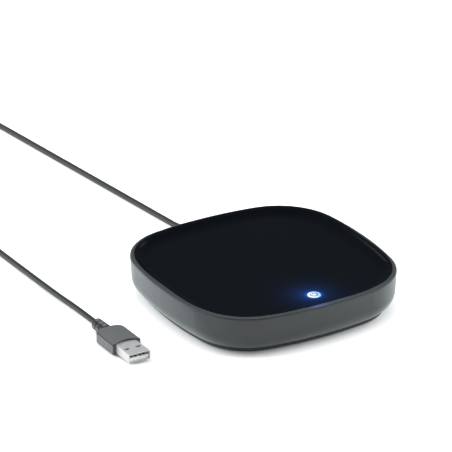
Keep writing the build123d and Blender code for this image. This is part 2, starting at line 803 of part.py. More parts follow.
def cord_tube(points):
    """Cord along straight runs joined by the largest arcs that they allow."""
    corners = [Vector(*point) for point in points]
    radii = []
    for before, corner, after in zip(corners, corners[1:], corners[2:]):
        run_in = corner - before
        run_out = after - corner
        shorter = min(run_in.length, run_out.length)
        radii.append(0.45 * shorter / tan(radians(run_in.get_angle(run_out)) / 2))
    path = FilletPolyline(*corners, radius=radii)
    start = Plane(origin=corners[0], z_dir=corners[1] - corners[0])
    tube = sweep(start * Circle(cord_diameter / 2), path=path)
    share = tube.volume / (path.length * pi * cord_diameter**2 / 4)
    print("cord run", round(path.length, 1), "mm, volume share", round(share, 4),
          "radii", [round(radius, 1) for radius in radii])
    return tube


def lead_points():
    """Route from the tray to the coil."""
    return [
        (axis_x, relief_end, cord_height), (axis_x, 79.5, cord_height), (4.76, 91.0, cord_rest),
        (-14.6, 264.0, cord_rest), (-26.5, 277.0, cord_rest), (-43.0, 281.0, cord_rest),
        (-60.5, 274.0, cord_rest), (-76.5, 252.0, cord_rest), (-89.6, 225.2, cord_rest),
    ]


def tail_points():
    """Route from the coil to the plug."""
    _, _, plug_rear = plug_places()
    return [
        (-91.6, 217.5, cord_rest), (-92.2, 192.0, cord_rest), (-89.7, 152.0, cord_rest),
        (-89.3, 37.0, cord_rest), (plug_x, plug_rear + 9.0, plug_height),
        (plug_x, plug_rear, plug_height),
    ]


def cord_coil():
    """Outer shape of the neat coil: turns side by side, and one fewer in the layer above."""
    half = coil_bottom_turns * cord_diameter / 2
    height = cord_diameter + coil_layer_rise
    section = Pos(coil_radius, height / 2) * RectangleRounded(2 * half, height, cord_diameter * 0.45)
    return Pos(coil_x, coil_y, 0) * revolve(Plane.XZ * section, Axis.Z)


pieces = {
    "top_tray": top_tray(),
    "outer_shell": outer_shell(),
    "base_cover": base_cover(),
    "rubber_feet": rubber_feet(),
    "base_screws": pan_screws(base_places(), screw_head_seat, base_screw_head_diameter,
                              base_screw_head_height, base_screw_diameter, base_screw_length, True),
    "heat_spreader": heat_spreader(),
    "film_heater": film_heater(),
    "insulation_pad": insulation_pad(),
    "heater_clamp": heater_clamp(),
    "heater_screws": pan_screws(heater_places(), clamp_bottom, heater_screw_head_diameter,
                                heater_screw_head_height, heater_screw_diameter, heater_screw_length, True),
    "temperature_sensor": temperature_sensor(),
    "thermal_cutout": thermal_cutout(),
    "heater_leads": heater_leads(),
    "sensor_leads": sensor_leads(),
    "circuit_board": circuit_board(),
    "control_chip": control_chip(),
    "power_transistor": power_transistor(),
    "smoothing_capacitor": smoothing_capacitor(),
    "chip_resistors": chip_resistors(),
    "indicator_leds": indicator_leds(),
    "switch_body": switch_body(),
    "switch_plunger": switch_plunger(),
    "button_cap": button_cap(),
    "board_screws": pan_screws(board_places(), board_bottom, board_screw_head_diameter,
                               board_screw_head_height, board_screw_diameter, board_screw_length, True),
    "strain_relief": strain_relief(),
    "cord_end": cord_end(),
    "cord_clamp": cord_clamp(),
    "cord_clamp_screws": pan_screws(saddle_places(), saddle_bar_top, saddle_screw_head_diameter,
                                    saddle_screw_head_height, saddle_screw_diameter, saddle_screw_length,
                                    False),
    "power_leads": power_leads(),
    "cord_lead": cord_tube(lead_points()),
    "cord_coil": cord_coil(),
    "cord_tail": cord_tube(tail_points()),
    "plug_boot": plug_boot(),
    "plug_body": plug_body(),
    "plug_shell": plug_shell(),
    "plug_tongue": plug_tongue(),
    "plug_contacts": plug_contacts(),
}

os.makedirs("parts", exist_ok=True)
for name, piece in pieces.items():
    export_step(piece, os.path.join("parts", name + ".step"))
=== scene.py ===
from math import cos, pi, radians, sin

import bmesh
import bpy
from mathutils import Matrix, Vector


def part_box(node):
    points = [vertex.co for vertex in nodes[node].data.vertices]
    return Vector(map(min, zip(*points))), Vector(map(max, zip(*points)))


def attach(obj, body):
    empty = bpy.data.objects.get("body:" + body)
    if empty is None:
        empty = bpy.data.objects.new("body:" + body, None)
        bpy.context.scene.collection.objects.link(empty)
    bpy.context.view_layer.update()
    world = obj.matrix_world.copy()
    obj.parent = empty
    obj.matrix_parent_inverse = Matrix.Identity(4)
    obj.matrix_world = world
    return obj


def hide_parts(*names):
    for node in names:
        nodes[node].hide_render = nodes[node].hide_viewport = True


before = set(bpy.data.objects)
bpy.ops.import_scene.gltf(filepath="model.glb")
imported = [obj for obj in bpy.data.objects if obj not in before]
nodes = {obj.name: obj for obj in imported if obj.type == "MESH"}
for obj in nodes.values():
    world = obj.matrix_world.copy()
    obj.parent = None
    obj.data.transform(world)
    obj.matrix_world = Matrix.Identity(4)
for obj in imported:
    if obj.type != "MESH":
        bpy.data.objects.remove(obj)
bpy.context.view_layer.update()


# ---- Camera ----
# The warmer is looked down on from the left of its button, through a long lens, so that its
# sides stay almost parallel.
view_azimuth = radians(-30.67)
view_elevation = radians(25.05)
view_centre = Vector((-0.00819, 0.02260, 0.03316))
view_distance = 2.60991
lens_length = 412.8

back = Vector((sin(view_azimuth) * cos(view_elevation), -cos(view_azimuth) * cos(view_elevation),
               sin(view_elevation)))
camera = bpy.data.objects.new("camera", bpy.data.cameras.new("camera"))
camera.data.lens = lens_length
camera.data.clip_end = 100.0
camera.location = view_centre + back * view_distance
camera.rotation_mode = "QUATERNION"
camera.rotation_quaternion = (-back).to_track_quat("-Z", "Y")
bpy.context.scene.collection.objects.link(camera)
bpy.context.scene.camera = camera
bpy.context.scene.view_settings.view_transform = "Standard"


# ---- Table ----
# A plain white table top, much wider than the view. It takes the warmer's soft shadow from the
# lamps, and its glow is dimmed near the warmer as a painted contact shadow. It can be seen through
# from underneath. Past the lamps it glows more, so that it stays white.
table_reach = 15.0
table_gap = 0.00005
table_white = (0.8, 0.8, 0.805, 1.0)
table_roughness = 0.9
table_glow = 0.55
far_table_glow = 1.3
past_lamps = (0.3, 1.2)
mirrored_glow = 0.15
contact_shade_reach = 0.010
contact_shade_rays = 16


def new_material(name):
    """Material with an empty Principled shader: (material, its nodes, its links, the shader)."""
    material = bpy.data.materials.new(name)
    material.use_nodes = True
    tree = material.node_tree
    return material, tree.nodes, tree.links, tree.nodes["Principled BSDF"]


def worked(shading, wires, operation, first, second=None):
    """One sum on values, each a socket or a number: the socket of its answer."""
    step = shading.new("ShaderNodeMath")
    step.operation = operation
    for socket, value in zip(step.inputs, (first, second)):
        if isinstance(value, float):
            socket.default_value = value
        elif value is not None:
            wires.new(value, socket)
    return step.outputs["Value"]


def ramp(shading, wires, source, low, high, start=0.0, end=1.0):
    """Read a value between two levels as a soft run from start to end: the socket of its answer."""
    step = shading.new("ShaderNodeMapRange")
    step.interpolation_type = "SMOOTHSTEP"
    for name, number in (("From Min", low), ("From Max", high), ("To Min", start), ("To Max", end)):
        step.inputs[name].default_value = number
    wires.new(source, step.inputs["Value"])
    return step.outputs["Result"]


bench = bmesh.new()
bmesh.ops.create_grid(bench, x_segments=1, y_segments=1, size=table_reach,
                      matrix=Matrix.Translation((0.0, 0.0, -table_gap)))
table_mesh = bpy.data.meshes.new("table")
bench.to_mesh(table_mesh)
bench.free()
table = bpy.data.objects.new("table", table_mesh)
bpy.context.scene.collection.objects.link(table)
table_paint, shading, wires, shader = new_material("table_paint")
shader.inputs["Base Color"].default_value = table_white
shader.inputs["Roughness"].default_value = table_roughness
shader.inputs["Specular IOR Level"].default_value = 0.0
shader.inputs["Emission Color"].default_value = table_white
seen = shading.new("ShaderNodeLightPath")
# Painted contact shadow: the glow seen by the camera is dimmed by ambient occlusion near the
# warmer, its lead and its plug.
shade = shading.new("ShaderNodeAmbientOcclusion")
shade.samples = contact_shade_rays
shade.inputs["Distance"].default_value = contact_shade_reach
in_view = worked(shading, wires, "MULTIPLY", seen.outputs["Is Camera Ray"], shade.outputs["AO"])
from_middle = shading.new("ShaderNodeVectorMath")
from_middle.operation = "LENGTH"
wires.new(shading.new("ShaderNodeTexCoord").outputs["Object"], from_middle.inputs[0])
table_light = ramp(shading, wires, from_middle.outputs["Value"], *past_lamps,
                   table_glow, far_table_glow)
in_view = worked(shading, wires, "MULTIPLY", in_view, table_light)
mirrored = worked(shading, wires, "ADD", seen.outputs["Is Glossy Ray"],
                  seen.outputs["Is Transmission Ray"])
mirrored = worked(shading, wires, "MULTIPLY", mirrored, mirrored_glow)
wires.new(worked(shading, wires, "ADD", in_view, mirrored), shader.inputs["Emission Strength"])
see_through = shading.new("ShaderNodeBsdfTransparent")
side = shading.new("ShaderNodeNewGeometry")
either = shading.new("ShaderNodeMixShader")
wires.new(side.outputs["Backfacing"], either.inputs["Fac"])
wires.new(shader.outputs["BSDF"], either.inputs[1])
wires.new(see_through.outputs["BSDF"], either.inputs[2])
wires.new(either.outputs["Shader"], shading["Material Output"].inputs["Surface"])
table_mesh.materials.append(table_paint)


# ---- Light ----
# A wide lamp hangs over the table, with a soft box on each side. Low white screens stand to the
# left and right of the view, in a dark room, and the backdrop is white to the camera alone.
left_screen_white = (1.92, 2.0, 2.04, 1.0)
right_screen_white = (1.4, 1.45, 1.48, 1.0)
room_dark = (0.03, 0.04, 0.045, 1.0)
backdrop_white = (1.0, 1.0, 1.0, 1.0)
screen_inner_edge = (0.6, 0.85)
screen_top_edge = (0.3, 0.6)


def blended(shading, wires, factor, first, second):
    """Two colours mixed by a factor, each a socket or a colour: the socket of its answer."""
    step = shading.new("ShaderNodeMixRGB")
    wires.new(factor, step.inputs["Fac"])
    for name, colour in (("Color1", first), ("Color2", second)):
        if isinstance(colour, tuple):
            step.inputs[name].default_value = (*colour[:3], 1.0)
        else:
            wires.new(colour, step.inputs[name])
    return step.outputs["Color"]


world = bpy.data.worlds.new("studio")
world.use_nodes = True
air = world.node_tree.nodes
lines = world.node_tree.links
sky = air.new("ShaderNodeTexCoord")
sideways = air.new("ShaderNodeVectorMath")
sideways.operation = "DOT_PRODUCT"
sideways.inputs[1].default_value = (cos(view_azimuth), sin(view_azimuth), 0.0)
lines.new(sky.outputs["Generated"], sideways.inputs[0])
upwards = air.new("ShaderNodeSeparateXYZ")
lines.new(sky.outputs["Generated"], upwards.inputs["Vector"])
below_top = ramp(air, lines, upwards.outputs["Z"], screen_top_edge[1], screen_top_edge[0])
room = room_dark
for screen_white, towards in ((left_screen_white, -1.0), (right_screen_white, 1.0)):
    across = worked(air, lines, "MULTIPLY", sideways.outputs["Value"], towards)
    across = ramp(air, lines, across, *screen_inner_edge)
    on_screen = worked(air, lines, "MULTIPLY", across, below_top)
    room = blended(air, lines, on_screen, room, screen_white)
backdrop = air.new("ShaderNodeLightPath")
room = blended(air, lines, backdrop.outputs["Is Camera Ray"], room, backdrop_white)
lines.new(room, air["Background"].inputs["Color"])
bpy.context.scene.world = world


def soft_box(name, bearing, height, away, width, watts):
    """Square lamp at a bearing from the view's line of sight, aimed at the tray, not mirrored."""
    lamp = bpy.data.lights.new(name, "AREA")
    lamp.shape = "SQUARE"
    lamp.size = width
    lamp.energy = watts
    box = bpy.data.objects.new(name, lamp)
    angle = radians(bearing) - view_azimuth
    place = Vector((sin(angle) * away, cos(angle) * away, height))
    box.location = place
    box.rotation_mode = "QUATERNION"
    box.rotation_quaternion = (-place).to_track_quat("-Z", "Y")
    box.visible_glossy = False
    bpy.context.scene.collection.objects.link(box)


soft_box("top_box", bearing=0, height=1.3, away=0.2, width=1.1, watts=9.0)
soft_box("left_box", bearing=-75, height=0.6, away=1.0, width=0.9, watts=20.0)
soft_box("right_box", bearing=75, height=0.6, away=1.0, width=0.9, watts=16.5)


# ---- Lead ----
# The one round lead, in black PVC, three millimetres across: out of the tray's back, along the
# table, wound in a neat coil of seven turns, and back to its plug. Its line is in millimetres.
cord_diameter = 0.003
lead_run = [
    (4.9, 71.92, 7.4), (4.9, 79.5, 7.4), (4.76, 91.0, 1.5), (3.31, 104.0, 1.5),
    (-12.63, 246.4, 1.5), (-14.6, 264.0, 1.5), (-26.5, 277.0, 1.5), (-43.0, 281.0, 1.5),
    (-60.5, 274.0, 1.5), (-76.5, 252.0, 1.5), (-89.6, 225.2, 1.5),
]
tail_run = [
    (-91.1, 209.8, 4.7), (-91.7, 200.8, 4.5), (-91.6, 187.0, 1.5), (-89.7, 152.0, 1.5),
    (-89.6, 114.0, 1.5), (-89.3, 54.0, 2.0), (-89.3, 37.0, 2.9), (-89.5, 20.1, 3.4),
    (-89.5, 11.1, 3.4),
]
coil_centre = Vector((-70.7, 216.0, 0.0))
coil_entry = radians(154)
steps_in_turn = 14
table_turns = (21.4, 18.3, 15.3, 12.3)
upper_turns = (13.8, 16.8, 19.9)
table_level = 1.5
upper_level = 4.1
crossing_rise = 0.4
climb = {13: (11.0, 2.0), 14: (9.5, 2.9), 15: (10.3, 4.1), 16: (12.2, 4.6)}
leaving_step = 0.8


def coil_place(radius, angle, height):
    """Place on the coil, at a radius and an angle about its middle."""
    return coil_centre + Vector((radius * cos(angle), radius * sin(angle), height))


coil_run = []
for turn, radius in enumerate(table_turns + upper_turns):
    upper = turn >= len(table_turns)
    for step in range(steps_in_turn):
        crossing = upper and step in (0, steps_in_turn - 1)
        level = (upper_level if upper else table_level) + (crossing_rise if crossing else 0.0)
        past_inner = step + (turn - len(table_turns) + 1) * steps_in_turn
        reach, height = climb.get(past_inner, (radius, level))
        coil_run.append(coil_place(reach, coil_entry + 2 * pi * step / steps_in_turn, height))
leaving = coil_entry + 2 * pi / steps_in_turn * leaving_step
coil_run.append(coil_place(upper_turns[-1], leaving, upper_level + crossing_rise))

route = [Vector(point) / 1000 for point in lead_run + coil_run[1:] + tail_run]
line = bpy.data.curves.new("lead", "CURVE")
line.dimensions = "3D"
line.bevel_depth = cord_diameter / 2
line.bevel_resolution = 6
line.resolution_u = 10
line.use_fill_caps = True
spline = line.splines.new("NURBS")
spline.points.add(len(route) - 1)
for control, place in zip(spline.points, route):
    control.co = (*place, 1.0)
spline.order_u = 3
spline.use_endpoint_u = True
lead = bpy.data.objects.new("lead", line)
bpy.context.scene.collection.objects.link(lead)

patch_size = 0.017
patch_detail = 3.0
patch_levels = (0.3, 0.7)
patch_lightening = 1.12
patch_gloss = (0.93, 1.07)


def speckled(shading, wires, where, size, detail=2.0):
    """Soft random speckle of one size on a set of coordinates: the socket of its answer."""
    step = shading.new("ShaderNodeTexNoise")
    step.inputs["Scale"].default_value = 1 / size
    step.inputs["Detail"].default_value = detail
    wires.new(where, step.inputs["Vector"])
    return step.outputs["Fac"]


def raised(shading, wires, height, depth, shader):
    """Raise a shader's surface by a height pattern of this depth in metres."""
    step = shading.new("ShaderNodeBump")
    step.inputs["Distance"].default_value = depth
    wires.new(height, step.inputs["Height"])
    wires.new(step.outputs["Normal"], shader.inputs["Normal"])


def moulded(name, colour, roughness, grain, depth, shine=0.5):
    """Moulded plastic or rubber: a fine grain from the tool, and a slightly uneven gloss."""
    material, shading, wires, shader = new_material(name)
    where = shading.new("ShaderNodeTexCoord").outputs["Object"]
    patches = speckled(shading, wires, where, patch_size, patch_detail)
    lighter = tuple(channel * patch_lightening for channel in colour)
    wires.new(blended(shading, wires, patches, colour, lighter), shader.inputs["Base Color"])
    glossier, duller = (roughness * share for share in patch_gloss)
    wires.new(ramp(shading, wires, patches, *patch_levels, glossier, duller),
              shader.inputs["Roughness"])
    raised(shading, wires, speckled(shading, wires, where, grain), depth, shader)
    shader.inputs["Specular IOR Level"].default_value = shine
    return material


def finish_nodes(material, *names):
    """Give these parts of the model one finish."""
    for name in names:
        nodes[name].data.materials.clear()
        nodes[name].data.materials.append(material)


jacket = moulded("cord_jacket", colour=(0.026, 0.028, 0.029), roughness=0.38, grain=0.00025,
                 depth=0.000006, shine=0.35)
line.materials.append(jacket)
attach(lead, "housing")
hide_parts("cord_lead", "cord_coil", "cord_tail")
finish_nodes(jacket, "cord_end", "strain_relief")


# ---- Tie ----
# A strip of black hook-and-loop tape holds the coil. It goes once round the turns, and its end
# lies over its start on top.
tie_angle = coil_entry + pi
tie_middle = 0.0165
tie_half_width = 0.004
tie_thickness = 0.0007
tie_edge = 0.0002
tie_corners = ((0.0120, 0.0015, 151, 270), (0.0209, 0.0015, 270, 390), (0.0194, 0.0041, 30, 90))
tie_start = ((0.0165, 0.00595), (0.01345, 0.00595), (0.01262, 0.00575), (0.01200, 0.00525))
tie_end = ((0.0180, 0.0062), (0.0165, 0.00668), (0.0145, 0.0067), (0.0132, 0.00665))
tie_reach = cord_diameter / 2 + tie_thickness / 2
tie_floor = tie_thickness / 2
tie_corner_steps = 8
tie_columns = 8
tape_dark = (0.008, 0.008, 0.009)
tape_light = (0.045, 0.045, 0.048)
loop_size = 0.0004
loop_depth = 0.0002

tie_path = list(tie_start)
for middle, level, start, end in tie_corners:
    for step in range(tie_corner_steps + 1):
        turn = radians(start + (end - start) * step / tie_corner_steps)
        tie_path.append((middle + tie_reach * cos(turn),
                         max(tie_floor, level + tie_reach * sin(turn))))
tie_path += tie_end
strip = bmesh.new()
tie_rows = []
for reach, level in tie_path:
    row = []
    for column in range(tie_columns + 1):
        turn = tie_angle + (2 * column / tie_columns - 1) * tie_half_width / tie_middle
        row.append(strip.verts.new((coil_centre.x / 1000 + reach * cos(turn),
                                    coil_centre.y / 1000 + reach * sin(turn), level)))
    tie_rows.append(row)
for row, following in zip(tie_rows, tie_rows[1:]):
    for column in range(tie_columns):
        strip.faces.new((row[column], following[column], following[column + 1], row[column + 1]))
tie_mesh = bpy.data.meshes.new("coil_tie")
strip.to_mesh(tie_mesh)
strip.free()
tie = bpy.data.objects.new("coil_tie", tie_mesh)
bpy.context.scene.collection.objects.link(tie)
tape = tie.modifiers.new("tape", "SOLIDIFY")
tape.thickness = tie_thickness
tape.offset = 0.0
soft_edge = tie.modifiers.new("soft_edge", "BEVEL")
soft_edge.width = tie_edge
soft_edge.segments = 2
tie_finish, shading, wires, shader = new_material("tie_finish")
where = shading.new("ShaderNodeTexCoord").outputs["Object"]
loops = speckled(shading, wires, where, loop_size, 4.0)
wires.new(blended(shading, wires, loops, tape_dark, tape_light), shader.inputs["Base Color"])
raised(shading, wires, loops, loop_depth, shader)
shader.inputs["Roughness"].default_value = 0.9
shader.inputs["Specular IOR Level"].default_value = 0.2
tie_mesh.materials.append(tie_finish)
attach(tie, "housing")


# ---- Base cover, feet and screws ----
# The base cover is a little darker than the housing, and clips behind its lower edge. Four rubber
# feet hide the zinc-plated screws that hold it.
base_finish = moulded("base_finish", colour=(0.05, 0.058, 0.06), roughness=0.6, grain=0.00035,
                      depth=0.000015, shine=0.25)
foot_finish = moulded("foot_finish", colour=(0.018, 0.018, 0.018), roughness=0.8, grain=0.0004,
                      depth=0.00001, shine=0.3)
finish_nodes(base_finish, "base_cover")
finish_nodes(foot_finish, "rubber_feet")

drawn_unit = 0.001
drawn_detail = 3.0
drawn_levels = (0.3, 0.7)
drawn_dulling = 0.82
drawn_gloss = (0.8, 1.2)
drawn_depth = 0.000003


def drawn_metal(name, colour, roughness, grain, metal=1.0):
    """Rolled, drawn or plated metal: fine lines along X, Y or Z, whichever grain is longest on."""
    material, shading, wires, shader = new_material(name)
    centred = shading.new("ShaderNodeMapping")
    centred.inputs["Scale"].default_value = [drawn_unit / size for size in grain]
    wires.new(shading.new("ShaderNodeTexCoord").outputs["Object"], centred.inputs["Vector"])
    lines_drawn = speckled(shading, wires, centred.outputs["Vector"], drawn_unit, drawn_detail)
    dark_line = tuple(channel * drawn_dulling for channel in colour)
    wires.new(blended(shading, wires, lines_drawn, dark_line, colour), shader.inputs["Base Color"])
    glossier, duller = (roughness * share for share in drawn_gloss)
    wires.new(ramp(shading, wires, lines_drawn, *drawn_levels, glossier, duller),
              shader.inputs["Roughness"])
    raised(shading, wires, lines_drawn, drawn_depth, shader)
    shader.inputs["Metallic"].default_value = metal
    return material


screw_finish = drawn_metal("screw_finish", colour=(0.55, 0.55, 0.56), roughness=0.35,
                           grain=(0.0005, 0.0005, 0.0005))
finish_nodes(screw_finish, "base_screws", "heater_screws", "board_screws", "cord_clamp_screws")


# ---- Circuit board and the parts on it ----
# Green solder mask over copper tracks, epoxy chips, a drawn capacitor can, two blue lights and a
# key switch. Red insulated wires join it to the lead and to the heater.
mask_green = (0.012, 0.10, 0.035)
track_green = (0.03, 0.20, 0.08)
track_pitch = 0.0018
track_waviness = 6.0
track_edge = (0.62, 0.7)
track_depth = 0.00004
wave_length = 0.314
light_blue = (0.1, 0.3, 1.0, 1.0)
light_strength = 2.0

board_finish, shading, wires, shader = new_material("board_finish")
where = shading.new("ShaderNodeTexCoord").outputs["Object"]
tracks = shading.new("ShaderNodeTexWave")
tracks.inputs["Scale"].default_value = wave_length / track_pitch
tracks.inputs["Distortion"].default_value = track_waviness
tracks.inputs["Detail"].default_value = 0.0
wires.new(where, tracks.inputs["Vector"])
copper = ramp(shading, wires, tracks.outputs["Fac"], *track_edge)
wires.new(blended(shading, wires, copper, mask_green, track_green), shader.inputs["Base Color"])
raised(shading, wires, copper, track_depth, shader)
shader.inputs["Roughness"].default_value = 0.3
finish_nodes(board_finish, "circuit_board")
chip_finish = moulded("chip_finish", colour=(0.02, 0.02, 0.022), roughness=0.55, grain=0.0002,
                      depth=0.00001)
finish_nodes(chip_finish, "control_chip", "power_transistor", "chip_resistors",
             "temperature_sensor")
can_finish = drawn_metal("can_finish", colour=(0.7, 0.71, 0.72), roughness=0.3,
                         grain=(0.0003, 0.0003, 0.004))
finish_nodes(can_finish, "smoothing_capacitor", "thermal_cutout")
switch_finish = moulded("switch_finish", colour=(0.05, 0.05, 0.055), roughness=0.5, grain=0.0003,
                        depth=0.00001)
finish_nodes(switch_finish, "switch_body")
plunger_finish = moulded("plunger_finish", colour=(0.7, 0.7, 0.68), roughness=0.45, grain=0.0003,
                         depth=0.000006)
finish_nodes(plunger_finish, "switch_plunger")
insulation_finish = moulded("insulation_finish", colour=(0.45, 0.03, 0.03), roughness=0.4,
                            grain=0.0004, depth=0.00001)
finish_nodes(insulation_finish, "power_leads", "heater_leads", "sensor_leads")
light_finish = moulded("light_finish", colour=(0.55, 0.75, 0.95), roughness=0.2, grain=0.0005,
                       depth=0.000004)
shader = light_finish.node_tree.nodes["Principled BSDF"]
shader.inputs["Emission Color"].default_value = light_blue
shader.inputs["Emission Strength"].default_value = light_strength
finish_nodes(light_finish, "indicator_leds")


# ---- Heater ----
# Under the floor of the dish: a rolled aluminium plate, an amber film with its winding, a white
# felt pad, and a black clamp that presses them up.
film_amber = (0.55, 0.24, 0.05)
winding_brown = (0.28, 0.12, 0.035)
winding_pitch = 0.003
winding_edge = (0.45, 0.55)
winding_depth = 0.00003
felt_shade = (0.62, 0.6, 0.54)
felt_white = (0.82, 0.8, 0.75)
fibre_size = 0.0008
fibre_depth = 0.0003

spreader_finish = drawn_metal("spreader_finish", colour=(0.75, 0.76, 0.77), roughness=0.4,
                              grain=(0.006, 0.0003, 0.0003))
finish_nodes(spreader_finish, "heat_spreader")
film_finish, shading, wires, shader = new_material("film_finish")
where = shading.new("ShaderNodeTexCoord").outputs["Object"]
winding = shading.new("ShaderNodeTexWave")
winding.inputs["Scale"].default_value = wave_length / winding_pitch
wires.new(where, winding.inputs["Vector"])
track = ramp(shading, wires, winding.outputs["Fac"], *winding_edge)
wires.new(blended(shading, wires, track, film_amber, winding_brown), shader.inputs["Base Color"])
raised(shading, wires, track, winding_depth, shader)
shader.inputs["Roughness"].default_value = 0.3
finish_nodes(film_finish, "film_heater")
felt_finish, shading, wires, shader = new_material("felt_finish")
where = shading.new("ShaderNodeTexCoord").outputs["Object"]
fibres = speckled(shading, wires, where, fibre_size, 6.0)
wires.new(blended(shading, wires, fibres, felt_shade, felt_white), shader.inputs["Base Color"])
raised(shading, wires, fibres, fibre_depth, shader)
shader.inputs["Roughness"].default_value = 0.95
finish_nodes(felt_finish, "insulation_pad")
clamp_finish = moulded("clamp_finish", colour=(0.06, 0.06, 0.065), roughness=0.55, grain=0.0004,
                       depth=0.000015)
finish_nodes(clamp_finish, "heater_clamp", "cord_clamp")


# ---- Housing ----
# One wall all the way round, matt black ABS with a fine spark-eroded grain. It turns under at the
# bottom and sits on the base cover.
housing_colour = (0.0125, 0.0158, 0.0165)
housing_roughness = 0.32
housing_grain = 0.00035
grain_depth = 0.000012
matt_sheen = 0.33
sheen_softness = 0.5
sheen_tint = (0.82, 0.96, 0.99, 1.0)

housing_finish = moulded("housing_finish", housing_colour, housing_roughness, housing_grain,
                         grain_depth)
shader = housing_finish.node_tree.nodes["Principled BSDF"]
shader.inputs["Sheen Weight"].default_value = matt_sheen
shader.inputs["Sheen Roughness"].default_value = sheen_softness
shader.inputs["Sheen Tint"].default_value = sheen_tint
finish_nodes(housing_finish, "outer_shell")


# ---- Dish ----
# One moulding in polished black: floor, low curved wall and flat rim. The rim and the outside of
# its lip have the housing's matt grain. The rim's matt band is widened on the camera's side as a
# painted reflection, and its inner edge is lightened as a painted highlight. The button's light
# spreads in the floor as a painted glow, and a blue patch on the rim on that side is a painted
# reflection of the button.
dish_black = (0.0028, 0.0034, 0.0047)
floor_polish = 0.05
rim_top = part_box("top_tray")[1].z
rim_colour = (0.042, 0.047, 0.049)
matt_below_rim = (0.00030, 0.00012)
painted_edge_highlight = (0.14, 0.152, 0.155)
edge_highlight_below_rim = (0.00003, 0.000005)
lip_outside = (0.002, 0.006)
polished_reach = 0.05775
polished_edge = 0.0002
polished_corner = 3.25
reflection_band_shift = 0.00115
from_camera = (-sin(view_azimuth), cos(view_azimuth))
right_of_camera = (cos(view_azimuth), sin(view_azimuth))
button_low, button_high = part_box("button_cap")
button_middle = Vector(((button_low.x + button_high.x) / 2, (button_low.y + button_high.y) / 2))
button_radius = (button_high.x - button_low.x) / 2
glow_blue = (0.03, 0.16, 0.8)
glow_shift = 0.0015
glow_strength = 0.15
glow_fade = 0.005
halo_strength = 0.16
halo_fade = 0.0006
button_reflection_blue = (0.035, 0.045, 0.22)
button_reflection_ahead = 0.0193
button_reflection_aside = 0.0028
button_reflection_reach = 0.0075
button_reflection_below_rim = (0.0012, 0.0006)

dish_finish, shading, wires, shader = new_material("dish_finish")
where = shading.new("ShaderNodeTexCoord").outputs["Object"]
height = shading.new("ShaderNodeSeparateXYZ")
wires.new(where, height.inputs["Vector"])
level_place = shading.new("ShaderNodeVectorMath")
level_place.operation = "MULTIPLY"
level_place.inputs[1].default_value = (1.0, 1.0, 0.0)
wires.new(where, level_place.inputs[0])


def up_to_rim(below_rim):
    """Soft run between two depths below the rim's top: the socket of its answer."""
    return ramp(shading, wires, height.outputs["Z"], *(rim_top - depth for depth in below_rim))


outwards = shading.new("ShaderNodeVectorMath")
outwards.operation = "DOT_PRODUCT"
wires.new(level_place.outputs["Vector"], outwards.inputs[0])
wires.new(shading.new("ShaderNodeNewGeometry").outputs["Normal"], outwards.inputs[1])
lip = ramp(shading, wires, outwards.outputs["Value"], *lip_outside)
rim = up_to_rim(matt_below_rim)
# Painted reflection: the polished middle is moved away from the camera's side, so the matt rim band
# is wider in front and narrower at the rear.
off_middle = shading.new("ShaderNodeVectorMath")
off_middle.operation = "SUBTRACT"
off_middle.inputs[1].default_value = (*(part * reflection_band_shift for part in from_camera), 0.0)
wires.new(level_place.outputs["Vector"], off_middle.inputs[0])
sides = shading.new("ShaderNodeSeparateXYZ")
wires.new(off_middle.outputs["Vector"], sides.inputs["Vector"])
powers = []
for axis in ("X", "Y"):
    reach = worked(shading, wires, "ABSOLUTE", sides.outputs[axis])
    powers.append(worked(shading, wires, "POWER", reach, polished_corner))
out_from_middle = worked(shading, wires, "POWER", worked(shading, wires, "ADD", *powers),
                         1 / polished_corner)
off_polish = ramp(shading, wires, out_from_middle, polished_reach - polished_edge,
                  polished_reach + polished_edge)
rim = worked(shading, wires, "MINIMUM", rim, off_polish)
lip = worked(shading, wires, "MULTIPLY", lip, off_polish)
matt_parts = []
for colour, sheen in ((rim_colour, 0.0), (housing_colour, matt_sheen)):
    part = shading.new("ShaderNodeBsdfPrincipled")
    part.inputs["Base Color"].default_value = (*colour, 1.0)
    part.inputs["Roughness"].default_value = housing_roughness
    part.inputs["Sheen Weight"].default_value = sheen
    part.inputs["Sheen Roughness"].default_value = sheen_softness
    part.inputs["Sheen Tint"].default_value = sheen_tint
    raised(shading, wires, speckled(shading, wires, where, housing_grain), grain_depth, part)
    matt_parts.append(part)
# Painted highlight: the rim's rounded edges, just below its flat top, get a lighter colour than the
# flat.
flat = up_to_rim(edge_highlight_below_rim)
wires.new(blended(shading, wires, flat, painted_edge_highlight, rim_colour), matt_parts[0].inputs["Base Color"])


def distance_from(place):
    """Distance over the tray from a place in it: the socket of its answer."""
    away = shading.new("ShaderNodeVectorMath")
    away.operation = "DISTANCE"
    away.inputs[1].default_value = (*place, 0.0)
    wires.new(level_place.outputs["Vector"], away.inputs[0])
    return away.outputs["Value"]


def spread_light(centre, edge, strength, fade):
    """Light that fades out by distance from a place in the floor: the socket of its answer."""
    past_edge = worked(shading, wires, "SUBTRACT", distance_from(centre), edge)
    faded = worked(shading, wires, "EXPONENT", worked(shading, wires, "DIVIDE", past_edge, -fade))
    return worked(shading, wires, "MULTIPLY", faded, strength)


# Painted glow: blue emission in the floor stands in for the button's light in the dish, centred a
# little to the camera's left of the button, with a tight halo round it.
glow_centre = button_middle - Vector(right_of_camera) * glow_shift
glow = worked(shading, wires, "ADD",
              spread_light(glow_centre, button_radius, glow_strength, glow_fade),
              spread_light(button_middle, button_radius, halo_strength, halo_fade))
painted_floor_glow = blended(shading, wires, glow, (0.0, 0.0, 0.0), glow_blue)
